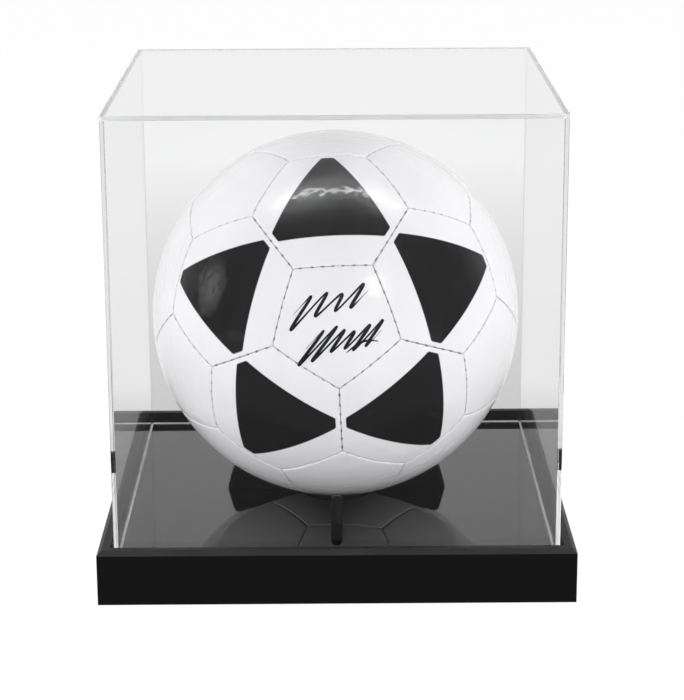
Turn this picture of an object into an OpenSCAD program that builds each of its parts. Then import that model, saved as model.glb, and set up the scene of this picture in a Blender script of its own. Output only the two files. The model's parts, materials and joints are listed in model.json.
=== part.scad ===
// Display case for one football: a clear five-sided cover lifts off a framed black base,
// and the ball rests in a four-armed stand on the base's glossy floor.
// Origin: centre of the underside, where the felt pads rest. Front faces -Y, +Z is up.

/* [Base] */
// Outside width and depth of the square base
base_w = 268; // [263:1:290]
// Height of the base from the felt pads' underside to the top of its lip
base_h = 32.5; // [31:0.5:40]
// Height of the glossy floor's top face
floor_z = 26; // [24:0.5:27]
// Width of each frame rail
rail_w = 18; // [16:1:26]
// Thickness of the lip that stands round the cover's foot
lip_t = 7; // [5:0.5:7]
// Width of the bevel along the rails' outer top edge
edge_bevel = 2.6; // [0.5:0.1:4]

/* [Cover] */
// Outside width and depth of the clear cover
cover_w = 250; // [246:1:250]
// Outside height of the clear cover
cover_h = 249.5; // [246:0.5:280]
// Thickness of the clear sheet
sheet_t = 2.5; // [2:0.5:4]

/* [Football] */
// Outside radius of the football
ball_r = 109; // [108:0.5:111]
// Gap between the football's lowest point and the floor
ball_gap = 1.2; // [1.2:0.1:3]
// How far the stand and football sit forward of the middle
ball_forward = 7; // [0:1:9]
// Lean of the football, from a five-sided panel on top towards the front
ball_lean = 78; // [0:1:180]
// Spin of the football about that panel's own axis
ball_spin = -15.4; // [-36:0.1:36]

/* [Stand] */
// Radius from the stand's middle to the foot of each arm
arm_r = 66.5; // [60:0.5:70]
// Thickness of each arm
arm_t = 7; // [5:0.5:9]
// Height of each arm's end
arm_h = 15.5; // [12:0.5:18]
// Inward lean of each arm's end, in degrees
arm_lean = 12; // [0:1:15]

/* [Hidden] */
$fn = 96;
eps = 0.01;
end_facets = 32;

// Base: a rail's ledge carries the board, and the board carries the glossy floor
pad_t = 1;
pad_r = 6;
pad_inset = 10;
floor_t = 3;
board_t = 6;
board_clear = 0.25;
board_top = floor_z - floor_t;
board_bottom = board_top - board_t;
board_w = base_w - 2 * lip_t - 2 * board_clear;
block_leg = 24;
block_t = 10;
block_gap = 0.1;

// Screws that hold the board down on the ledges, two to a rail
screw_r = 1.75;
screw_head_r = 3.5;
screw_head_t = 2;
screw_sink = 1;
screw_bite = 4.5;
screw_span = 150;
screw_inset = 12.5;
screw_clear = 0.25;

// Stand
fit_gap = 0.3;
hub_r = 22;
hub_t = 1;
seat_r = 20;
seat_h = 3.4;

// Football, from the outside in
panel_t = 2.4;
seam_gap = 0.5;
layer_gap = 0.3;
lining_t = 1;
bladder_t = 0.9;
lining_r = ball_r - panel_t - layer_gap;
bladder_r = lining_r - lining_t - layer_gap;
ball_z = floor_z + ball_gap + ball_r;
ball_at = [0, -ball_forward, ball_z];
valve_panel = 20;
valve_r = 4;
valve_tip_r = 2.2;
valve_inset = 1.2;
valve_inner = 4;
valve_clear = 0.2;

PENTAGONS = 12;
HEXAGONS = 20;

function unit(v) = v / norm(v);
function two_digits(k) = k < 10 ? str("0", k) : str(k);
function panel_name(kind, k) = str(kind, "_panel_", two_digits(k));

// The panels follow an icosahedron: its corners are the middles of the five-sided panels
ring_lat = atan(0.5);
function upper(k) = [cos(ring_lat) * cos(72 * k), cos(ring_lat) * sin(72 * k), sin(ring_lat)];
function lower(k) = -upper(k + 3);
TOP = [0, 0, 1];
BOTTOM = [0, 0, -1];
CORNERS = concat([TOP], [for (k = [0:4]) upper(k)], [for (k = [0:4]) lower(k)], [BOTTOM]);
// Each face of the icosahedron carries one six-sided panel. Its first corner is due north or
// due south of its middle, which squares the panel up with its neighbours.
FACES = concat(
    [for (k = [0:4]) [TOP, upper(k), upper(k + 1)]],
    [for (k = [0:4]) [lower(k), upper(k), upper(k + 1)]],
    [for (k = [0:4]) [upper(k), lower(k - 1), lower(k)]],
    [for (k = [0:4]) [BOTTOM, lower(k), lower(k + 1)]]
);
function middle(face) = unit(face[0] + face[1] + face[2]);
function angle_to(a, b) = acos(a * b);
function bearing(v) = [0, acos(v[2]), atan2(v[1], v[0])];

// Half angles of the cones through a panel's corners and through the middles of its sides
pent_corner = angle_to(TOP, unit(2 * TOP + upper(0)));
hex_corner = angle_to(middle(FACES[0]), unit(2 * TOP + upper(0)));
function side_angle(corner_angle, sides) = atan(tan(corner_angle) * cos(180 / sides));

// ---- Base ----

// A rail's cross-section, with its outer face on x = 0 and the inside of the base at +x
module rail_section() {
    difference() {
        union() {
            translate([0, pad_t]) square([rail_w, board_bottom - pad_t]);
            polygon([[0, pad_t], [lip_t, pad_t], [lip_t, base_h], [edge_bevel, base_h],
                     [0, base_h - edge_bevel]]);
        }
        translate([lip_t, board_bottom]) square([rail_w, base_h]);
    }
}

// Where a rail's two screws go, along the rail
screw_places = [-screw_span / 2, screw_span / 2];

// One screw on the z axis: a sunk pan head and a shank that bites into the board
module screw(clear = 0) {
    head_z = pad_t + screw_sink;
    translate([0, 0, head_z - (clear > 0 ? screw_sink + 1 : 0)])
        cylinder(r = screw_head_r + clear, h = screw_head_t + (clear > 0 ? screw_sink + 1 : 0));
    translate([0, 0, head_z])
        cylinder(r = screw_r + clear, h = board_bottom + screw_bite - head_z + clear);
}

// The front rail; turn is the angle that brings it to its own side
module rail(turn) {
    color([0.05, 0.05, 0.055])
        rotate([0, 0, turn])
            difference() {
                intersection() {
                    translate([-base_w / 2, -base_w / 2, 0])
                        rotate([90, 0, 90])
                            linear_extrude(base_w) rail_section();
                    linear_extrude(base_h)
                        polygon([[0, 0], [-base_w / 2, -base_w / 2], [base_w / 2, -base_w / 2]]);
                }
                for (x = screw_places)
                    translate([x, -base_w / 2 + screw_inset, 0]) screw(screw_clear);
            }
}

module corner_blocks() {
    inner = base_w / 2 - rail_w - block_gap;
    color([0.72, 0.56, 0.36])
        for (turn = [0:90:270])
            rotate([0, 0, turn])
                translate([-inner, -inner, board_bottom - block_t])
                    linear_extrude(block_t - block_gap)
                        polygon([[0, 0], [block_leg, 0], [0, block_leg]]);
}

module base_board() {
    color([0.45, 0.34, 0.24])
        difference() {
            translate([-board_w / 2, -board_w / 2, board_bottom])
                cube([board_w, board_w, board_t]);
            for (turn = [0:90:270])
                rotate([0, 0, turn])
                    for (x = screw_places)
                        translate([x, -base_w / 2 + screw_inset, 0]) screw(screw_clear);
        }
}

module board_screws() {
    color([0.7, 0.7, 0.72])
        for (turn = [0:90:270])
            rotate([0, 0, turn])
                for (x = screw_places)
                    translate([x, -base_w / 2 + screw_inset, 0]) screw();
}

module floor_panel() {
    color([0.02, 0.02, 0.022])
        translate([-board_w / 2, -board_w / 2, board_top])
            cube([board_w, board_w, floor_t]);
}

module felt_pads() {
    at = base_w / 2 - pad_inset;
    color([0.1, 0.1, 0.1])
        for (x = [-at, at])
            for (y = [-at, at])
                translate([x, y, 0]) cylinder(r = pad_r, h = pad_t);
}

// ---- Stand ----

// One arm, lying along +x: a low bar with a rounded top that falls towards the seat, and with
// a domed outer end that leans in as it rises
module arm() {
    end_r = arm_t / 2;
    foot_r = arm_r - end_r;
    $fn = end_facets;
    hull() {
        translate([foot_r, 0, 0]) cylinder(r = end_r, h = eps);
        translate([foot_r - arm_h * tan(arm_lean), 0, arm_h - end_r]) sphere(end_r);
        translate([seat_r, 0, seat_h - end_r]) sphere(end_r);
    }
}

module ball_stand() {
    color([0.03, 0.03, 0.035])
        translate([0, -ball_forward, floor_z])
            difference() {
                union() {
                    for (turn = [0:90:270]) rotate([0, 0, turn]) arm();
                    cylinder(r = hub_r, h = hub_t);
                }
                translate([0, 0, ball_gap + ball_r]) sphere(ball_r + fit_gap);
                translate([-base_w / 2, -base_w / 2, -arm_t]) cube([base_w, base_w, arm_t]);
            }
}

// ---- Cover ----

wall_h = cover_h - sheet_t;
CLEAR = [0.85, 0.92, 0.95, 0.3];

// The front and back sheets span the full width, and the side sheets fit between them
module cover_wall(y) {
    color(CLEAR)
        translate([-cover_w / 2, y - sheet_t / 2, floor_z]) cube([cover_w, sheet_t, wall_h]);
}

module cover_side(x) {
    depth = cover_w - 2 * sheet_t;
    color(CLEAR)
        translate([x - sheet_t / 2, -depth / 2, floor_z]) cube([sheet_t, depth, wall_h]);
}

wall_at = cover_w / 2 - sheet_t / 2;
module cover_front() { cover_wall(-wall_at); }
module cover_back() { cover_wall(wall_at); }
module cover_left() { cover_side(-wall_at); }
module cover_right() { cover_side(wall_at); }

module cover_top() {
    color(CLEAR)
        translate([-cover_w / 2, -cover_w / 2, floor_z + wall_h]) cube([cover_w, cover_w, sheet_t]);
}

// ---- Football ----

// Puts its children, made round +z, into the football's own posture and place
module in_ball() {
    translate(ball_at) rotate([ball_lean, 0, 0]) rotate([0, 0, ball_spin]) children();
}

module shell(outer_r, thick) {
    difference() {
        rotate([90, 0, 0]) sphere(outer_r);
        rotate([90, 0, 0]) sphere(outer_r - thick);
    }
}

// The part of the cover layer that lies within a pyramid of the given number of sides
module ball_panel(sides, corner_angle) {
    height = ball_r * 1.2;
    lift = seam_gap / 2 / sin(side_angle(corner_angle, sides));
    intersection() {
        shell(ball_r, panel_t);
        translate([0, 0, lift]) cylinder(r1 = 0, r2 = height * tan(corner_angle), h = height, $fn = sides);
    }
}

// Five-sided panel k. In the upper ring a corner points north, elsewhere one points south.
module pentagon_panel(k) {
    upper_ring = k >= 2 && k <= 6;
    color([0.93, 0.93, 0.93])
        in_ball()
            rotate(bearing(CORNERS[k - 1]))
                rotate([0, 0, upper_ring ? 180 : 0])
                    ball_panel(5, pent_corner);
}

module hexagon_panel(k) {
    color([0.88, 0.88, 0.9])
        in_ball()
            rotate(bearing(middle(FACES[k - 1])))
                difference() {
                    rotate([0, 0, 30]) ball_panel(6, hex_corner);
                    if (k == valve_panel) cylinder(r = valve_tip_r + valve_clear, h = 2 * ball_r);
                }
}

module at_valve() {
    in_ball() rotate(bearing(middle(FACES[valve_panel - 1]))) children();
}

module ball_lining() {
    color([0.8, 0.78, 0.7])
        difference() {
            translate(ball_at) shell(lining_r, lining_t);
            at_valve() cylinder(r = valve_r + valve_clear, h = 2 * ball_r);
        }
}

module ball_bladder() {
    color([0.15, 0.15, 0.15])
        difference() {
            translate(ball_at) shell(bladder_r, bladder_t);
            at_valve() cylinder(r = valve_r + valve_clear, h = 2 * ball_r);
        }
}

// A rubber plug through bladder, lining and one panel, with a needle hole down its middle
module ball_valve() {
    plug_top = lining_r + layer_gap / 2;
    plug_bottom = bladder_r - bladder_t - valve_inner;
    tip_top = ball_r - valve_inset;
    needle_r = 0.6;
    color([0.2, 0.2, 0.2])
        at_valve()
            difference() {
                union() {
                    translate([0, 0, plug_bottom]) cylinder(r = valve_r, h = plug_top - plug_bottom);
                    translate([0, 0, plug_bottom]) cylinder(r = valve_tip_r, h = tip_top - plug_bottom);
                }
                translate([0, 0, plug_bottom + 1]) cylinder(r = needle_r, h = ball_r);
            }
}

rail(0);  // front_rail
rail(90);  // right_rail
rail(180);  // back_rail
rail(270);  // left_rail
corner_blocks();
base_board();
board_screws();
floor_panel();
felt_pads();
ball_stand();
cover_front();
cover_back();
cover_left();
cover_right();
cover_top();
for (k = [1:PENTAGONS])
    pentagon_panel(k);
for (k = [1:HEXAGONS])
    hexagon_panel(k);
ball_lining();
ball_bladder();
ball_valve();
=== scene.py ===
"""Looks of the football display case: materials, the sewn football, the clear cover and the studio."""

import json
import math

import bmesh
import bpy
import numpy as np
from mathutils import Matrix, Vector

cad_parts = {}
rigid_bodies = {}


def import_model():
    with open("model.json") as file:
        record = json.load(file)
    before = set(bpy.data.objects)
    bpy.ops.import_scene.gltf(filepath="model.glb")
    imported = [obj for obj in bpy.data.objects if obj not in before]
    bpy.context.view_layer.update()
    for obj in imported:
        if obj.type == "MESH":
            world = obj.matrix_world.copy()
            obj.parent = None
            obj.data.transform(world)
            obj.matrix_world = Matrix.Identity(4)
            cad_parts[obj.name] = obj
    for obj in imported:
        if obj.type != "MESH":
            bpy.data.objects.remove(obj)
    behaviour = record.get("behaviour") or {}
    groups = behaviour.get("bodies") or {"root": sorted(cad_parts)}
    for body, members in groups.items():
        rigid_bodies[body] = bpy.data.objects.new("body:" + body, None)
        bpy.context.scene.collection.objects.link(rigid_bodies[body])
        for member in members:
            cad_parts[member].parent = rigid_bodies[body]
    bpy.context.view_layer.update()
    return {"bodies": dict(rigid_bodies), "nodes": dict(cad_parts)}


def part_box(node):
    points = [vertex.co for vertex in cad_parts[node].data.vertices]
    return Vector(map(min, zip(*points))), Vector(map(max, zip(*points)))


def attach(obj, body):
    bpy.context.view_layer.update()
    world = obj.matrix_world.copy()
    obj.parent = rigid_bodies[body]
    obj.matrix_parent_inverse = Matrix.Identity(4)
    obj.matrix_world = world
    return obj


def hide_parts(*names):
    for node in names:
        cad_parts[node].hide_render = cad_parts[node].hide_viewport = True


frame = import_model()
NODES = frame["nodes"]
MM = 0.001

PENTAGONS = sorted(n for n in NODES if n.startswith("pentagon_panel"))
HEXAGONS = sorted(n for n in NODES if n.startswith("hexagon_panel"))


# ---------------------------------------------------------------- camera and studio

CAMERA_AT = Vector((-0.5, -1294.0, 476.4)) * MM
CAMERA_TURN = math.radians(0.19)
CAMERA_PITCH = math.radians(15.78)
CAMERA_ROLL = math.radians(-0.29)
CAMERA_LENS = 114.4


def make_camera():
    data = bpy.data.cameras.new("camera")
    data.lens = CAMERA_LENS
    data.sensor_width = 36
    data.clip_start = 0.05
    data.clip_end = 60
    camera = bpy.data.objects.new("camera", data)
    bpy.context.scene.collection.objects.link(camera)
    camera.matrix_world = (
        Matrix.Translation(CAMERA_AT)
        @ Matrix.Rotation(-CAMERA_TURN, 4, "Z")
        @ Matrix.Rotation(math.pi / 2 - CAMERA_PITCH, 4, "X")
        @ Matrix.Rotation(CAMERA_ROLL, 4, "Z")
    )
    bpy.context.scene.camera = camera


def softbox(name, at, target, size, power):
    """An area light of size (width, height) metres at a point, turned towards a target."""
    data = bpy.data.lights.new(name, "AREA")
    data.shape = "RECTANGLE"
    data.size, data.size_y = size
    data.energy = power
    light = bpy.data.objects.new(name, data)
    bpy.context.scene.collection.objects.link(light)
    light.location = at
    light.rotation_euler = (Vector(target) - Vector(at)).to_track_quat("-Z", "Y").to_euler()
    return light


def straight_view(g):
    """1 for a view with nothing but clear sheets in its way, else 0."""
    rays = g.add("LightPath")
    seen = g.math("MAXIMUM", rays.outputs["Is Camera Ray"], rays.outputs["Is Transmission Ray"])
    turns = g.math("ADD", rays.outputs["Glossy Depth"], rays.outputs["Diffuse Depth"])
    return g.math("MULTIPLY", seen, g.math("LESS_THAN", turns, 0.5))


# Reflections and light come from a studio that is white behind the case and dark in front of it
FRONT_LEVEL = 0.08
BACK_LEVEL = 0.9
FLOOR_SHADE = 0.05
FLOOR_WHITE = 0.97
SKY_WHITE = 1.05
# Seen through the sheets, the floor is a little darker close to the case
ROUND_CASE = (0.25, 1.2)
CASE_SHADE = 0.36
WINDOW_POWER = 1.45


def make_world():
    world = bpy.data.worlds.new("studio")
    bpy.context.scene.world = world
    world.use_nodes = True
    world.node_tree.nodes.clear()
    g = Graph(world)
    coords = g.add("TexCoord")
    split = g.add("SeparateXYZ", {"Vector": coords.outputs["Generated"]})
    level = g.spread(split.outputs["Y"], 0.1, 0.75, FRONT_LEVEL, BACK_LEVEL)
    shown = g.math("MULTIPLY", straight_view(g), g.math("SUBTRACT", SKY_WHITE, level))
    level = g.math("ADD", shown, level)
    back = g.add("Background", {"Strength": level})
    back.inputs["Color"].default_value = (1, 1, 1, 1)
    out = g.add("OutputWorld", {"Surface": back.outputs[0]})
    out.is_active_output = True


# Fill lamps: name, place, upright size in metres, and power in watts
FILLS = (
    ("fill_middle", (0, -1.6, 0.55), 0.5, 14),
    ("fill_left", (-1.6, -0.7, 0.18), 0.3, 30),
    ("fill_right", (1.6, -0.7, 0.18), 0.3, 29.5),
    ("fill_top", (0, 0.5, 1.3), 0.6, 10.5),
)
FILL_WIDTH = 1.2
# Share of the studio floor's level that diffuse rays meet, so it lights things little from below
FLOOR_BOUNCE = 0.1


def make_floor():
    """A pale floor that is white to the camera and takes only a faint shadow."""
    size = 6.0
    mesh = bpy.data.meshes.new("studio_floor")
    corners = [(-size, -size, 0), (size, -size, 0), (size, size, 0), (-size, size, 0)]
    mesh.from_pydata(corners, [], [(0, 1, 2, 3)])
    floor = bpy.data.objects.new("studio_floor", mesh)
    bpy.context.scene.collection.objects.link(floor)
    mat, bsdf = principled("studio_floor", (FLOOR_SHADE,) * 3, roughness=1.0)
    bsdf.inputs["Specular IOR Level"].default_value = 0.0
    bsdf.inputs["Emission Color"].default_value = (1, 1, 1, 1)
    g = Graph(mat)
    place = g.add("SeparateXYZ", {"Vector": g.add("TexCoord").outputs["Object"]})
    level = g.spread(place.outputs["Y"], -0.05, 0.3, FRONT_LEVEL, BACK_LEVEL)
    through = g.add("LightPath").outputs["Is Transmission Ray"]
    distance = g.math("SQRT", g.math("ADD", *[
        g.math("MULTIPLY", place.outputs[axis], place.outputs[axis]) for axis in ("X", "Y")
    ]))
    near = g.spread(distance, *ROUND_CASE, CASE_SHADE, 0.0)
    white = g.math("SUBTRACT", FLOOR_WHITE, g.math("MULTIPLY", through, near))
    spread_light = g.add("LightPath").outputs["Is Diffuse Ray"]
    level = g.math("MULTIPLY", level, g.spread(spread_light, 0, 1, 1.0, FLOOR_BOUNCE))
    shown = g.math("MULTIPLY", straight_view(g), g.math("SUBTRACT", white, level))
    g.links.new(g.math("ADD", shown, level), bsdf.inputs["Emission Strength"])
    mesh.materials.append(mat)


def make_studio():
    scene = bpy.context.scene
    scene.view_settings.view_transform = "Standard"
    scene.cycles.max_bounces = 40
    scene.cycles.transmission_bounces = 40
    scene.cycles.glossy_bounces = 32
    scene.cycles.diffuse_bounces = 4
    scene.cycles.transparent_max_bounces = 24
    scene.cycles.sample_clamp_indirect = 6
    make_world()
    make_floor()
    middle = (0, 0, 0.13)
    strip = softbox("overhead_strip", (0, 0.06, 1.5), middle, (1.7, 0.08), 72)
    strip.visible_diffuse = False
    # The window shines softly, so it is a stack of discs, each smaller than the last
    for k, width in enumerate((0.56, 0.42, 0.3, 0.18)):
        at = (-1.3 + 0.01 * k, -0.12, 0.45)
        disc = softbox("window_%d" % k, at, middle, (width, width * 1.2), WINDOW_POWER * width**2)
        disc.data.shape = "ELLIPSE"
        disc.visible_diffuse = False
    softbox("key", (0.78, -1.4, 0.99), middle, (0.35, 0.35), 3)
    for name, at, height, power in FILLS:
        fill = softbox(name, at, middle, (FILL_WIDTH, height), power)
        fill.visible_glossy = False
        fill.visible_transmission = False
    streak = softbox("low_streak", (0.75, -1.4, 0.22), middle, (0.12, 0.3), 1.5)
    streak.visible_diffuse = False


# ---------------------------------------------------------------- materials


def principled(name, color, roughness=0.5, metallic=0.0):
    """A material with one Principled shader. Returns the material and its shader node."""
    mat = bpy.data.materials.new(name)
    mat.use_nodes = True
    bsdf = mat.node_tree.nodes["Principled BSDF"]
    bsdf.inputs["Base Color"].default_value = (*color, 1)
    bsdf.inputs["Roughness"].default_value = roughness
    bsdf.inputs["Metallic"].default_value = metallic
    mat.diffuse_color = (*color, 1)
    return mat, bsdf


class Graph:
    """Short calls for adding nodes to a material's tree."""

    def __init__(self, owner):
        self.nodes = owner.node_tree.nodes
        self.links = owner.node_tree.links

    def add(self, kind, links=None, **values):
        node = self.nodes.new("ShaderNode" + kind)
        for key, value in values.items():
            if key in node.inputs:
                node.inputs[key].default_value = value
            else:
                setattr(node, key, value)
        for key, source in (links or {}).items():
            self.links.new(source, node.inputs[key])
        return node

    def math(self, operation, a, b=None, c=None):
        """One arithmetic node. Each argument is a number or a socket."""
        node = self.nodes.new("ShaderNodeMath")
        node.operation = operation
        for i, value in enumerate((a, b, c)):
            if value is None:
                continue
            if isinstance(value, (int, float)):
                node.inputs[i].default_value = value
            else:
                self.links.new(value, node.inputs[i])
        return node.outputs[0]

    def object_coords(self, scale=(1, 1, 1)):
        """Coordinates in the object's own space, stretched by scale."""
        coords = self.add("TexCoord")
        mapping = self.add("Mapping", {"Vector": coords.outputs["Object"]})
        mapping.inputs["Scale"].default_value = scale
        return mapping.outputs[0]

    def noise(self, where, scale, detail=3.0, roughness=0.5):
        node = self.add(
            "TexNoise", {"Vector": where}, Scale=scale, Detail=detail, Roughness=roughness
        )
        return node.outputs["Fac"]

    def spread(self, value, low, high, out_low, out_high):
        """Maps a value from low..high to out_low..out_high, clamped."""
        node = self.add("MapRange", {"Value": value})
        node.inputs["From Min"].default_value = low
        node.inputs["From Max"].default_value = high
        node.inputs["To Min"].default_value = out_low
        node.inputs["To Max"].default_value = out_high
        return node.outputs[0]

    def mix(self, factor, color_a, color_b):
        node = self.nodes.new("ShaderNodeMix")
        node.data_type = "RGBA"
        self.links.new(factor, node.inputs[0])
        for socket, color in ((node.inputs[6], color_a), (node.inputs[7], color_b)):
            if isinstance(color, tuple):
                socket.default_value = (*color, 1)
            else:
                self.links.new(color, socket)
        return node.outputs[2]

    def bump(self, bsdf, height, distance, before=None):
        """Bump of a depth in metres, on top of an earlier one. It drives bsdf unless that is None."""
        node = self.add("Bump", {"Height": height})
        node.inputs["Distance"].default_value = distance
        node.inputs["Strength"].default_value = 1.0
        if before is not None:
            self.links.new(before, node.inputs["Normal"])
        if bsdf is not None:
            self.links.new(node.outputs[0], bsdf.inputs["Normal"])
        return node.outputs[0]


LACQUER_BLACK = (0.006, 0.0055, 0.006)
LACQUER_PAINTED_HIGHLIGHT = (0.02, 0.019, 0.02)


def lacquer(name, along):
    """Satin black lacquer over wood, with the faint grain running along an axis."""
    mat, bsdf = principled(name, LACQUER_BLACK, roughness=0.42)
    bsdf.inputs["Specular IOR Level"].default_value = 0.08
    bsdf.inputs["Coat Weight"].default_value = 0.04
    bsdf.inputs["Coat Roughness"].default_value = 0.22
    g = Graph(mat)
    stretch = (40, 900, 900) if along == "X" else (900, 40, 900)
    grain = g.noise(g.object_coords(stretch), 1.0, 2.0)
    peel = g.noise(g.object_coords(), 700.0, 1.0)
    wear_and_highlight = g.noise(g.object_coords(), 35.0, 4.0)
    g.links.new(g.spread(wear_and_highlight, 0.35, 0.65, 0.38, 0.47), bsdf.inputs["Roughness"])
    # Painted highlight: the lacquer is painted paler on the sloping arris, as if it caught the light
    # from above, a little uneven by the same noise that varies the roughness
    facing = g.add("SeparateXYZ", {"Vector": g.add("TexCoord").outputs["Normal"]}).outputs[2]
    arris = g.math("COMPARE", facing, math.sin(math.pi / 4), 0.2)
    painted_highlight = g.math("MULTIPLY", arris, g.spread(wear_and_highlight, 0.3, 0.7, 0.8, 1.0))
    g.links.new(g.mix(painted_highlight, LACQUER_BLACK, LACQUER_PAINTED_HIGHLIGHT), bsdf.inputs["Base Color"])
    first = g.bump(None, grain, 0.00002)
    g.bump(bsdf, peel, 0.00003, before=first)
    return mat


ACRYLIC_BLACK = (0.0055, 0.005, 0.0055)
DUST_GREY = (0.35, 0.35, 0.34)


def gloss_floor():
    """Polished black acrylic with faint wiping marks and a few specks of dust."""
    mat, bsdf = principled("gloss_floor", ACRYLIC_BLACK, roughness=0.03)
    bsdf.inputs["IOR"].default_value = 1.5
    g = Graph(mat)
    wipe = g.noise(g.object_coords((9, 26, 9)), 1.0, 3.0)
    g.links.new(g.spread(wipe, 0.45, 0.75, 0.015, 0.06), bsdf.inputs["Roughness"])
    dust = g.add("TexVoronoi", {"Vector": g.object_coords()}, Scale=75.0, Randomness=1.0)
    chosen = g.add("SeparateColor", {"Color": dust.outputs["Color"]})
    speck = g.spread(dust.outputs["Distance"], 0.012, 0.03, 1.0, 0.0)
    some = g.math("GREATER_THAN", chosen.outputs[0], 0.86)
    mask = g.math("MULTIPLY", speck, some)
    g.links.new(g.mix(mask, ACRYLIC_BLACK, DUST_GREY), bsdf.inputs["Base Color"])
    return mat


def moulded_black():
    """Glossy black moulded plastic with faint flow marks."""
    mat, bsdf = principled("stand_black", (0.005, 0.005, 0.0053), roughness=0.10)
    bsdf.inputs["Specular IOR Level"].default_value = 0.12
    g = Graph(mat)
    flow = g.noise(g.object_coords(), 60.0, 2.0)
    g.links.new(g.spread(flow, 0.3, 0.7, 0.07, 0.15), bsdf.inputs["Roughness"])
    g.bump(bsdf, g.noise(g.object_coords(), 180.0, 1.0), 0.00005)
    return mat


def clear_acrylic(name, color, roughness, ior=1.49):
    """Clear sheet. Lamps reach what is inside it through a tinted see-through shader."""
    mat, bsdf = principled(name, color, roughness=roughness)
    bsdf.inputs["IOR"].default_value = ior
    bsdf.inputs["Transmission Weight"].default_value = 1.0
    g = Graph(mat)
    rays = g.add("LightPath")
    passing = g.math("MAXIMUM", rays.outputs["Is Shadow Ray"], rays.outputs["Is Diffuse Ray"])
    see = g.add("BsdfTransparent")
    see.inputs["Color"].default_value = (0.94, 0.94, 0.94, 1)
    mixed = g.add("MixShader", {0: passing, 1: bsdf.outputs[0], 2: see.outputs[0]})
    g.links.new(mixed.outputs[0], mat.node_tree.nodes["Material Output"].inputs["Surface"])
    return mat


def joint_bead():
    """Set acrylic cement: clear but a little milky."""
    mat, bsdf = principled("joint_bead", (0.72, 0.72, 0.72), roughness=0.25)
    bsdf.inputs["Transmission Weight"].default_value = 0.6
    bsdf.inputs["IOR"].default_value = 1.49
    g = Graph(mat)
    haze = g.noise(g.object_coords(), 120.0, 2.0)
    g.links.new(g.spread(haze, 0.3, 0.7, 0.28, 0.4), bsdf.inputs["Roughness"])
    return mat


def felt():
    mat, bsdf = principled("felt", (0.02, 0.02, 0.021), roughness=0.95)
    bsdf.inputs["Sheen Weight"].default_value = 0.5
    bsdf.inputs["Sheen Roughness"].default_value = 0.4
    g = Graph(mat)
    fibres = g.noise(g.object_coords((1, 1, 0.4)), 2600.0, 4.0, 0.7)
    g.links.new(
        g.mix(g.spread(fibres, 0.35, 0.7, 0, 1), (0.012, 0.012, 0.013), (0.05, 0.05, 0.052)),
        bsdf.inputs["Base Color"],
    )
    g.bump(bsdf, fibres, 0.0003)
    return mat


def fibreboard():
    mat, bsdf = principled("fibreboard", (0.40, 0.28, 0.17), roughness=0.85)
    g = Graph(mat)
    fibres = g.noise(g.object_coords((1, 1, 3)), 900.0, 5.0, 0.7)
    clouds = g.noise(g.object_coords(), 14.0, 3.0)
    fine = g.mix(g.spread(fibres, 0.3, 0.7, 0, 1), (0.24, 0.155, 0.09), (0.50, 0.36, 0.23))
    toned = g.mix(g.spread(clouds, 0.35, 0.65, 0, 0.35), fine, (0.30, 0.20, 0.12))
    g.links.new(toned, bsdf.inputs["Base Color"])
    g.bump(bsdf, fibres, 0.0001)
    return mat


def bare_wood():
    mat, bsdf = principled("bare_wood", (0.62, 0.46, 0.28), roughness=0.7)
    g = Graph(mat)
    rings = g.add(
        "TexWave", {"Vector": g.object_coords()}, Scale=55.0, Distortion=6.0, Detail=3.0
    )
    rings.inputs["Detail Scale"].default_value = 1.5
    pores = g.noise(g.object_coords((1, 12, 1)), 260.0, 4.0)
    early = g.mix(rings.outputs["Fac"], (0.68, 0.50, 0.30), (0.46, 0.30, 0.16))
    toned = g.mix(g.spread(pores, 0.55, 0.75, 0, 0.5), early, (0.33, 0.2, 0.1))
    g.links.new(toned, bsdf.inputs["Base Color"])
    g.bump(bsdf, pores, 0.0001)
    return mat


def zinc_steel():
    mat, bsdf = principled("zinc_steel", (0.62, 0.63, 0.65), roughness=0.32, metallic=1.0)
    g = Graph(mat)
    spangle = g.noise(g.object_coords(), 900.0, 2.0)
    g.links.new(g.spread(spangle, 0.3, 0.7, 0.22, 0.42), bsdf.inputs["Roughness"])
    g.bump(bsdf, spangle, 0.00003)
    return mat


def woven_lining():
    mat, bsdf = principled("woven_lining", (0.55, 0.53, 0.47), roughness=0.9)
    g = Graph(mat)
    warp = g.add("TexWave", {"Vector": g.object_coords()}, Scale=420.0, bands_direction="X")
    weft = g.add("TexWave", {"Vector": g.object_coords()}, Scale=420.0, bands_direction="Z")
    weave = g.math("MULTIPLY", warp.outputs["Fac"], weft.outputs["Fac"])
    g.links.new(g.mix(weave, (0.30, 0.29, 0.26), (0.62, 0.60, 0.53)), bsdf.inputs["Base Color"])
    g.bump(bsdf, weave, 0.0002)
    return mat


def dark_rubber(name, color):
    mat, bsdf = principled(name, color, roughness=0.55)
    g = Graph(mat)
    skin = g.noise(g.object_coords(), 500.0, 3.0)
    g.links.new(g.spread(skin, 0.3, 0.7, 0.48, 0.66), bsdf.inputs["Roughness"])
    g.bump(bsdf, skin, 0.00006)
    return mat


# The print on a six-sided panel is a plain triangle with its points cut off. Its sides are
# straight, and its size is given by tangents of angles from the panel's middle.
PRINT_SIDE = 0.205
PRINT_CUT = 0.352
PRINT_SOFT = 0.0025
PRINT_CORNER = 0.012
COVER_WHITE = (0.80, 0.795, 0.81)
PRINT_BLACK = (0.006, 0.006, 0.0068)


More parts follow.
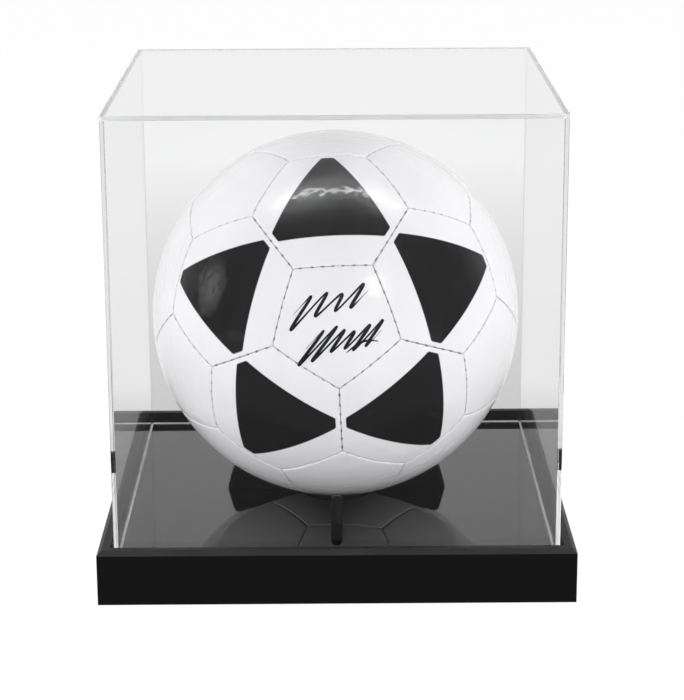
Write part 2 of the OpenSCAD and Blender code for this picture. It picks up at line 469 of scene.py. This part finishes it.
def ball_leather(name, printed):
    """Coated synthetic leather: glossy, finely wrinkled, slightly uneven, with or without print."""
    mat, bsdf = principled(name, COVER_WHITE, roughness=0.3)
    bsdf.inputs["Specular IOR Level"].default_value = 0.1
    bsdf.inputs["Coat Weight"].default_value = 0.9
    bsdf.inputs["Coat Roughness"].default_value = 0.03
    bsdf.inputs["Coat IOR"].default_value = 1.45
    g = Graph(mat)
    whole = g.add("TexCoord", object=frame["bodies"]["ball"]).outputs["Object"]
    tone = g.noise(whole, 35.0, 3.0)
    white = g.mix(g.spread(tone, 0.3, 0.7, 0, 1), (0.785, 0.78, 0.80), (0.825, 0.82, 0.835))
    if printed:
        axes = g.add("SeparateXYZ", {"Vector": g.add("TexCoord").outputs["Object"]})
        east = g.math("DIVIDE", axes.outputs[0], axes.outputs[2])
        north = g.math("DIVIDE", axes.outputs[1], axes.outputs[2])

        def reach(degrees):
            """How far a point lies from the panel's middle towards a bearing."""
            c, s = math.cos(math.radians(degrees)), math.sin(math.radians(degrees))
            return g.math("ADD", g.math("MULTIPLY", east, c), g.math("MULTIPLY", north, s))

        def furthest(bearings, limit):
            """Softly rounded largest reach, less its limit."""
            over = [g.math("SUBTRACT", reach(b), limit) for b in bearings]
            first = g.math("SMOOTH_MAX", over[0], over[1], PRINT_CORNER)
            return g.math("SMOOTH_MAX", first, over[2], PRINT_CORNER)

        long_sides = furthest((0, 120, 240), PRINT_SIDE)
        short_sides = furthest((60, 180, 300), PRINT_CUT)
        edge = g.math("SMOOTH_MAX", long_sides, short_sides, PRINT_CORNER)
        inked = g.spread(edge, -PRINT_SOFT, PRINT_SOFT, 1, 0)
        g.links.new(g.mix(inked, white, PRINT_BLACK), bsdf.inputs["Base Color"])
    else:
        g.links.new(white, bsdf.inputs["Base Color"])
    smudge = g.noise(whole, 28.0, 4.0)
    g.links.new(g.spread(smudge, 0.3, 0.7, 0.16, 0.28), bsdf.inputs["Roughness"])
    swell = g.bump(None, g.noise(whole, 60.0, 1.0), 0.00022)
    wrinkles = g.bump(None, g.noise(whole, 240.0, 0.0), 0.00016, before=swell)
    pores = g.add("TexVoronoi", {"Vector": whole}, Scale=1100.0)
    g.bump(bsdf, pores.outputs["Distance"], 0.00004, before=wrinkles)
    g.links.new(wrinkles, bsdf.inputs["Coat Normal"])
    return mat


def ink():
    mat, bsdf = principled("marker_ink", (0.004, 0.004, 0.005), roughness=0.35)
    bsdf.inputs["Specular IOR Level"].default_value = 0.25
    g = Graph(mat)
    flow = g.noise(g.object_coords(), 900.0, 2.0)
    g.links.new(g.spread(flow, 0.3, 0.7, 0.25, 0.5), bsdf.inputs["Roughness"])
    return mat


def seam_thread_material():
    mat, bsdf = principled("waxed_thread", (0.42, 0.42, 0.43), roughness=0.6)
    g = Graph(mat)
    twist = g.noise(g.object_coords(), 1800.0, 2.0)
    g.links.new(g.mix(twist, (0.30, 0.30, 0.31), (0.55, 0.55, 0.56)), bsdf.inputs["Base Color"])
    g.bump(bsdf, twist, 0.0001)
    return mat


def paint(node, material):
    """Gives a CAD node one material in every slot."""
    mesh = NODES[node].data
    mesh.materials.clear()
    mesh.materials.append(material)


# ---------------------------------------------------------------- mesh helpers


def new_piece(name, mesh, body, replaces=(), matrix=None):
    """Puts a mesh in the scene as a named piece that rides on a body."""
    piece = bpy.data.objects.new(name, mesh)
    bpy.context.scene.collection.objects.link(piece)
    if matrix is not None:
        piece.matrix_world = matrix
    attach(piece, body)
    if replaces:
        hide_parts(*replaces)
    return piece


def smooth(mesh, angle=None):
    mesh.polygons.foreach_set("use_smooth", [True] * len(mesh.polygons))
    if angle is not None:
        mesh.set_sharp_from_angle(angle=math.radians(angle))


def applied(source, name, *modifiers):
    """A copy of an object's mesh with modifiers applied. Each modifier is (type, {values})."""
    holder = bpy.data.objects.new(name, source.data.copy())
    bpy.context.scene.collection.objects.link(holder)
    for kind, values in modifiers:
        modifier = holder.modifiers.new(kind.lower(), kind)
        for key, value in values.items():
            setattr(modifier, key, value)
    bpy.context.view_layer.update()
    done = holder.evaluated_get(bpy.context.evaluated_depsgraph_get())
    mesh = bpy.data.meshes.new_from_object(done)
    mesh.name = name
    bpy.data.objects.remove(holder)
    return mesh


# ---------------------------------------------------------------- football

ball_low, ball_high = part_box("ball_lining")
BALL_MIDDLE = (ball_low + ball_high) / 2


def direction_of(node):
    """Unit vector from the football's middle through the middle of a panel's area."""
    mesh = NODES[node].data
    count = len(mesh.polygons)
    areas = np.zeros(count)
    centres = np.zeros(3 * count)
    mesh.polygons.foreach_get("area", areas)
    mesh.polygons.foreach_get("center", centres)
    mean = (centres.reshape(-1, 3) * areas[:, None]).sum(0) / areas.sum()
    return (Vector(mean) - BALL_MIDDLE).normalized()


def outer_radius(node):
    mesh = NODES[node].data
    return max((v.co - BALL_MIDDLE).length for v in mesh.vertices)


BALL_R = outer_radius(PENTAGONS[0])
PENTAGON_WAYS = {n: direction_of(n) for n in PENTAGONS}

# Angles at the ball's middle from a panel's middle to its corners, for 12 fives and 20 sixes
GOLDEN = (1 + math.sqrt(5)) / 2
EDGE_ARC = 2 * math.asin(1 / math.sqrt(1 + 9 * GOLDEN**2))


def corner_arc(sides):
    return math.asin(math.sin(EDGE_ARC / 2) / math.sin(math.pi / sides))


def side_arc(sides):
    return math.atan(math.tan(corner_arc(sides)) * math.cos(math.pi / sides))


SEAM_HALF = 0.15 * MM
SEAM_DEPTH = 0.5 * MM
EDGE_WIDTH = 1.3 * MM
CROWN = 0.12 * MM
CROWN_WIDTH = 15 * MM
CORNER_BLEND = 0.6 * MM
STITCH_COUNT = 7
STITCH_PITCH = BALL_R * EDGE_ARC / STITCH_COUNT
STITCH_OPEN = 0.55 * MM
STITCH_HALF = 0.75 * MM
PUCKER = 0.10 * MM
PUCKER_AT = 1.0 * MM
PUCKER_WIDTH = 0.8 * MM
# Exponent of the leather's roll into a seam, and the mm over which a stitch's gape fades
ROLL_POWER = 2.4
GAPE_FADE = 1.2
PANEL_THICK = 2.3 * MM
RING_GAPS = (0.0, 0.08, 0.2, 0.38, 0.6, 0.85, 1.15, 1.5, 1.9, 2.4, 3.2, 4.5, 6.5, 9.5, 14, 19, 25)
STEPS_PER_SIDE = 72
# The rings end in a small circle, or in the valve's hole
CENTRE_CIRCLE = 1.6 * MM
CIRCLE_SHARES = (0.35, 0.65, 0.85, 1.0)
CIRCLE_ROOM = 4 * MM
VALVE_HOLE = 2.4 * MM


def arc_to_side(bearing, side_bearing, beta, gap):
    """Polar angle at which a bearing from the panel's middle comes within gap of a side."""
    a = math.sin(beta)
    b = math.cos(beta) * np.cos(bearing - side_bearing)
    return np.arccos(np.sin(gap / BALL_R) / np.hypot(a, b)) - np.arctan2(b, a)


def panel_height(points, sides, first, beta):
    """Height of the cover over its lowest seam, from distances to all the panel's sides."""
    side_bearings = first + 2 * math.pi * (np.arange(sides) + 0.5) / sides
    normals = np.stack(
        [
            -math.cos(beta) * np.cos(side_bearings),
            -math.cos(beta) * np.sin(side_bearings),
            np.full(sides, math.sin(beta)),
        ],
        1,
    )
    gaps = BALL_R * np.arcsin(np.clip(points @ normals.T, -1, 1))
    nearest = gaps.argmin(1)
    lowest = gaps.min(1)
    soft = lowest - CORNER_BLEND * np.log(np.exp(-(gaps - lowest[:, None]) / CORNER_BLEND).sum(1))
    soft = np.maximum(soft, 0)
    dip = SEAM_DEPTH * np.clip(1 - soft / EDGE_WIDTH, 0, 1) ** ROLL_POWER
    rise = np.clip(soft / CROWN_WIDTH, 0, 1)
    crown = CROWN * (1 - rise * rise * (3 - 2 * rise))
    # Stitches pull the leather in along each side
    tangents = np.stack([-np.sin(side_bearings), np.cos(side_bearings), np.zeros(sides)], 1)
    along = BALL_R * np.arcsin(np.clip((points * tangents[nearest]).sum(1), -1, 1))
    pull = (0.5 + 0.5 * np.cos(2 * math.pi * along / STITCH_PITCH)) ** 3
    near = np.exp(-(((lowest - PUCKER_AT) / PUCKER_WIDTH) ** 2))
    return BALL_R - dip - crown - PUCKER * pull * near


def panel_mesh(name, sides, materials, hole=0.0):
    """A sewn panel round +z, about the ball's middle, as a closed thin shell."""
    beta = side_arc(sides)
    first = 0.0 if sides == 5 else math.pi / 6
    steps = STEPS_PER_SIDE * sides
    bearing = first + 2 * math.pi * np.arange(steps) / steps
    side = (np.arange(steps) // STEPS_PER_SIDE + 0.5) * 2 * math.pi / sides + first
    circle_size = hole if hole else CENTRE_CIRCLE
    last_gap = BALL_R * beta - circle_size - CIRCLE_ROOM
    # The seam gapes a little at every stitch
    phase = (np.arange(steps) % STEPS_PER_SIDE) / STEPS_PER_SIDE * STITCH_COUNT + 0.5
    off = (phase - np.round(phase)) * STITCH_PITCH
    gape = SEAM_HALF + STITCH_OPEN * np.exp(-((off / STITCH_HALF) ** 2))
    gaps = [g * MM + gape * math.exp(-g / GAPE_FADE) for g in RING_GAPS if g * MM < last_gap]
    arcs = [arc_to_side(bearing, side, beta, gap) for gap in gaps]
    # The last rings turn from the panel's outline into a circle
    circle = circle_size / BALL_R
    last = arcs[-1]
    for share in CIRCLE_SHARES:
        arcs.append(last * (1 - share) + circle * share)
    rows = []
    for arc in arcs:
        east, north = np.sin(arc) * np.cos(bearing), np.sin(arc) * np.sin(bearing)
        way = np.stack([east, north, np.cos(arc)], 1)
        rows.append(way * panel_height(way, sides, first, beta)[:, None])
    rim = rows[0] / np.linalg.norm(rows[0], axis=1)[:, None]
    under = rim * (BALL_R - PANEL_THICK)
    rows.insert(0, under)
    if hole:
        throat = rows[-1] / np.linalg.norm(rows[-1], axis=1)[:, None]
        rows.append(throat * (BALL_R - PANEL_THICK))
    points = np.concatenate(rows)
    faces = []
    for r in range(len(rows) - 1):
        base = r * steps
        for i in range(steps):
            j = (i + 1) % steps
            faces.append((base + i, base + j, base + steps + j, base + steps + i))
    vertices = points.tolist()
    end = (len(rows) - 1) * steps
    if hole:
        for i in range(steps):
            j = (i + 1) % steps
            faces.append((end + i, end + j, j, i))
    else:
        vertices.append([0, 0, float(np.linalg.norm(rows[-1][0]))])
        top = len(vertices) - 1
        vertices.append([0, 0, BALL_R - PANEL_THICK])
        bottom = len(vertices) - 1
        for i in range(steps):
            j = (i + 1) % steps
            faces.append((end + i, end + j, top))
            faces.append((j, i, bottom))
    mesh = bpy.data.meshes.new(name)
    mesh.from_pydata(vertices, [], faces)
    smooth(mesh, 50)
    for material in materials:
        mesh.materials.append(material)
    mesh.update()
    return mesh


def posture(way, towards):
    """Matrix that turns +z to a panel's direction and +x towards another direction."""
    x = (towards - way * towards.dot(way)).normalized()
    y = way.cross(x)
    turn = Matrix((x, y, way)).transposed().to_4x4()
    return Matrix.Translation(BALL_MIDDLE) @ turn


def nearest_pentagon(way, own=None):
    others = [v for n, v in PENTAGON_WAYS.items() if n != own]
    return max(others, key=way.dot)


# Six-sided panels next to the foremost and rearmost five-sided panels carry the print
PRINTED_WITHIN = math.radians(45)


def make_panels(plain, printed):
    five = panel_mesh("pentagon_leather", 5, [plain])
    six = panel_mesh("hexagon_leather", 6, [printed])
    six_plain = panel_mesh("hexagon_leather_plain", 6, [plain])
    valved = panel_mesh("hexagon_leather_valve", 6, [printed], hole=VALVE_HOLE)
    front_way = min(PENTAGON_WAYS.values(), key=lambda way: way.y)
    valve_low, valve_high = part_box("ball_valve")
    valve_way = ((valve_low + valve_high) / 2 - BALL_MIDDLE).normalized()
    for node in PENTAGONS:
        way = PENTAGON_WAYS[node]
        name = node.replace("panel", "leather")
        place = posture(way, nearest_pentagon(way, node))
        new_piece(name, five, "ball", [node], place)
    for node in HEXAGONS:
        way = direction_of(node)
        has_print = abs(way.dot(front_way)) > math.cos(PRINTED_WITHIN)
        mesh = six if has_print else six_plain
        if way.dot(valve_way) > 0.999:
            mesh = valved
        name = node.replace("panel", "leather")
        new_piece(name, mesh, "ball", [node], posture(way, nearest_pentagon(way)))


THREAD_SINK = 0.9 * MM


def make_seam_thread(material):
    """Short bars of thread along the bottom of every seam, one for each stitch."""
    half_length, radius = 0.95 * MM, 0.2 * MM
    depth = BALL_R - SEAM_DEPTH - THREAD_SINK
    ways = list(PENTAGON_WAYS.values())
    corners = []
    for a in ways:
        near = sorted(ways, key=a.dot, reverse=True)[1:6]
        corners += [(2 * a + b).normalized() for b in near]
    mesh = bmesh.new()
    for i, a in enumerate(corners):
        for b in corners[i + 1 :]:
            if a.angle(b) > EDGE_ARC * 1.02:
                continue
            for k in range(STITCH_COUNT):
                way = a.slerp(b, (k + 0.5) / STITCH_COUNT)
                along = (b - a).normalized()
                x = (along - way * along.dot(way)).normalized()
                y = way.cross(x)
                turn = Matrix((x, y, way)).transposed().to_4x4()
                place = Matrix.Translation(BALL_MIDDLE + way * depth) @ turn
                size = Matrix.Diagonal((half_length / radius, 1, 1, 1))
                bmesh.ops.create_icosphere(
                    mesh, subdivisions=1, radius=radius, matrix=place @ size
                )
    data = bpy.data.meshes.new("seam_thread")
    mesh.to_mesh(data)
    mesh.free()
    smooth(data)
    data.materials.append(material)
    new_piece("seam_thread", data, "ball")


def ribbon(points, widths, lift):
    """Closed thin ribbon on the ball through flat points (x, y) of a panel, in metres."""
    thickness = 0.06 * MM
    points = np.array(points)
    tangent = np.gradient(points, axis=0)
    tangent /= np.linalg.norm(tangent, axis=1)[:, None]
    normal = np.stack([-tangent[:, 1], tangent[:, 0]], 1)
    rails = []
    for side in (-1, 1):
        flat = points + normal * (side * np.array(widths) / 2)[:, None]
        way = np.column_stack([flat, np.full(len(flat), BALL_R)])
        way /= np.linalg.norm(way, axis=1)[:, None]
        rails.append(way * (lift + thickness))
        rails.append(way * lift)
    count = len(points)
    vertices = np.concatenate(rails).tolist()
    faces = []
    ring = (0, 2, 3, 1)
    for i in range(count - 1):
        for k in range(4):
            a, b = ring[k] * count + i, ring[(k + 1) % 4] * count + i
            faces.append((a, b, b + 1, a + 1))
    faces.append(tuple(r * count for r in reversed(ring)))
    faces.append(tuple(r * count + count - 1 for r in ring))
    return vertices, faces


def pen_wave(start, end, height, waves, slant):
    """Points (x, y) of a slanted wavy pen line, and its width at each point, in metres."""
    t = np.linspace(0, 1, 60 * waves)
    swing = np.sin(2 * math.pi * (waves * t + 0.06 * np.sin(7 * t)))
    y = swing * height * (1 - 0.45 * t + 0.25 * np.sin(9 * t)) / 2
    x = start[0] + (end[0] - start[0]) * t + slant * y
    y = y + start[1] + (end[1] - start[1]) * t
    falling = 0.5 - 0.5 * np.cos(2 * math.pi * waves * t)
    taper = np.clip(np.minimum(t, 1 - t) * 18, 0.25, 1)
    return np.stack([x, y], 1) * MM, (1.0 + 0.9 * falling) * taper * MM


def make_flourish(material):
    """A made-up pen flourish on the front panel: wavy lines that spell nothing."""
    front = min(PENTAGONS, key=lambda n: PENTAGON_WAYS[n].y)
    way = PENTAGON_WAYS[front]
    place = posture(way, Vector((1, 0, 0)))
    strokes = [
        pen_wave((-24, 4), (17, 16), 18, 4, 0.8),
        pen_wave((-17, -15), (25, -6), 19, 6, 0.85),
    ]
    s = np.linspace(0, 1, 60)
    tail = np.stack([6 + 18 * s, -17 + 6 * s + 3 * np.sin(math.pi * s)], 1) * MM
    strokes.append((tail, (0.5 + 0.8 * np.sin(math.pi * s)) * MM))
    vertices, faces = [], []
    for level, (points, width) in enumerate(strokes):
        more_vertices, more_faces = ribbon(points, width, BALL_R + (0.02 + 0.01 * level) * MM)
        offset = len(vertices)
        vertices += more_vertices
        faces += [tuple(i + offset for i in f) for f in more_faces]
    mesh = bpy.data.meshes.new("pen_flourish")
    mesh.from_pydata(vertices, [], faces)
    mesh.materials.append(material)
    mesh.update()
    new_piece("pen_flourish", mesh, "ball", matrix=place)


# ---------------------------------------------------------------- stand and cover


def make_stand(material):
    """The moulded stand, with the soft edges that a mould leaves."""
    mesh = applied(
        NODES["ball_stand"],
        "moulded_stand",
        ("REMESH", {"mode": "VOXEL", "voxel_size": 0.45 * MM, "adaptivity": 0.0}),
        ("SMOOTH", {"factor": 0.5, "iterations": 6}),
    )
    smooth(mesh)
    mesh.materials.clear()
    mesh.materials.append(material)
    new_piece("moulded_stand", mesh, "stand", ["ball_stand"])


SHEET_BEVEL = 0.08 * MM
JOINT_GAP = 0.02 * MM


def make_sheet(node, face_material, edge_material):
    """One clear sheet with lightly broken edges. Its narrow faces take the edge material."""
    low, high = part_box(node)
    size = high - low
    thin = min(range(3), key=lambda i: size[i])
    mesh = bmesh.new()
    bmesh.ops.create_cube(mesh, size=1.0)
    inset = Vector((JOINT_GAP,) * 3)
    inset[thin] = 0.0
    for v in mesh.verts:
        for i in range(3):
            reach = size[i] / 2 - inset[i]
            v.co[i] = (low[i] + high[i]) / 2 + math.copysign(reach, v.co[i])
    bmesh.ops.bevel(
        mesh, geom=mesh.edges[:], offset=SHEET_BEVEL, segments=1, affect="EDGES", profile=0.5
    )
    for face in mesh.faces:
        face.material_index = 0 if abs(face.normal[thin]) > 0.99 else 1
    data = bpy.data.meshes.new(node.replace("cover", "sheet"))
    mesh.to_mesh(data)
    mesh.free()
    data.materials.append(face_material)
    data.materials.append(edge_material)
    new_piece(node.replace("cover", "sheet"), data, "cover", [node])


BEAD = 0.7 * MM
BEAD_LIFT = 0.15 * MM
BEAD_GAP = 0.03 * MM
# The bead's open side is hollow, and a bead stops short of each corner. Both are shares of BEAD
BEAD_HOLLOW = 0.32
BEAD_STOP = 1.2


def make_beads(material):
    """A thin bead of cement round the inside of the cover's foot."""
    left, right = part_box("cover_left")[1].x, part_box("cover_right")[0].x
    front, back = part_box("cover_front")[1].y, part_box("cover_back")[0].y
    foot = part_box("cover_left")[0].z + BEAD_LIFT
    corners = [(left, front), (right, front), (right, back), (left, back)]
    mesh = bmesh.new()

    def bead(a, b, side_one, side_two):
        """A bar from a to b, with two flat sides towards side_one and side_two, hollow between them."""
        rings = []
        for end in (a, b):
            hollow = end + (side_one + side_two) * (BEAD * BEAD_HOLLOW)
            section = (end, end + side_one * BEAD, hollow, end + side_two * BEAD)
            rings.append([mesh.verts.new(p) for p in section])
        for k in range(4):
            j = (k + 1) % 4
            mesh.faces.new((rings[0][k], rings[0][j], rings[1][j], rings[1][k]))
        mesh.faces.new(rings[0])
        mesh.faces.new(rings[1][::-1])

    for k, (x, y) in enumerate(corners):
        next_x, next_y = corners[(k + 1) % 4]
        across = Vector((next_x - x, next_y - y, 0)).normalized()
        inward = Vector((-across.y, across.x, 0))
        length = Vector((next_x - x, next_y - y, 0)).length
        start = Vector((x, y, 0)) + across * BEAD_STOP * BEAD + inward * BEAD_GAP
        stop = start + across * (length - 2 * BEAD_STOP * BEAD)
        up = Vector((0, 0, 1))
        bead(start + up * foot, stop + up * foot, inward, up)
    bmesh.ops.recalc_face_normals(mesh, faces=mesh.faces[:])
    data = bpy.data.meshes.new("cover_beads")
    mesh.to_mesh(data)
    mesh.free()
    data.materials.append(material)
    new_piece("cover_beads", data, "cover")


# ---------------------------------------------------------------- build

make_camera()
make_studio()

lacquer_x, lacquer_y = lacquer("lacquer_x", "X"), lacquer("lacquer_y", "Y")
paint("front_rail", lacquer_x)
paint("back_rail", lacquer_x)
paint("left_rail", lacquer_y)
paint("right_rail", lacquer_y)
paint("floor_panel", gloss_floor())
paint("base_board", fibreboard())
paint("corner_blocks", bare_wood())
paint("board_screws", zinc_steel())
paint("felt_pads", felt())
paint("ball_lining", woven_lining())
paint("ball_bladder", dark_rubber("bladder_rubber", (0.03, 0.03, 0.032)))
paint("ball_valve", dark_rubber("valve_rubber", (0.08, 0.08, 0.082)))

make_stand(moulded_black())
clear = clear_acrylic("clear_sheet", (0.988, 0.988, 0.989), 0.0)
clear_edge = clear_acrylic("clear_edge", (0.985, 0.985, 0.986), 0.0)
sawn_edge = clear_acrylic("clear_top_edge", (0.62, 0.62, 0.625), 0.35)
for sheet in ("cover_front", "cover_left", "cover_right"):
    make_sheet(sheet, clear, clear_edge)
# The rear sheet mirrors so little that the football has no double in it. It is also a little darker
# than the front and side sheets: painted shade on what is seen through it
make_sheet("cover_back", clear_acrylic("clear_rear", (0.972, 0.972, 0.973), 0.0, 1.2), clear_edge)
# The top sheet is a much darker copy of the clear acrylic: painted shade on what is seen through it
make_sheet("cover_top", clear_acrylic("clear_head", (0.935, 0.935, 0.936), 0.0), sawn_edge)
make_beads(joint_bead())

make_panels(ball_leather("leather_plain", False), ball_leather("leather_printed", True))
make_seam_thread(seam_thread_material())
make_flourish(ink())
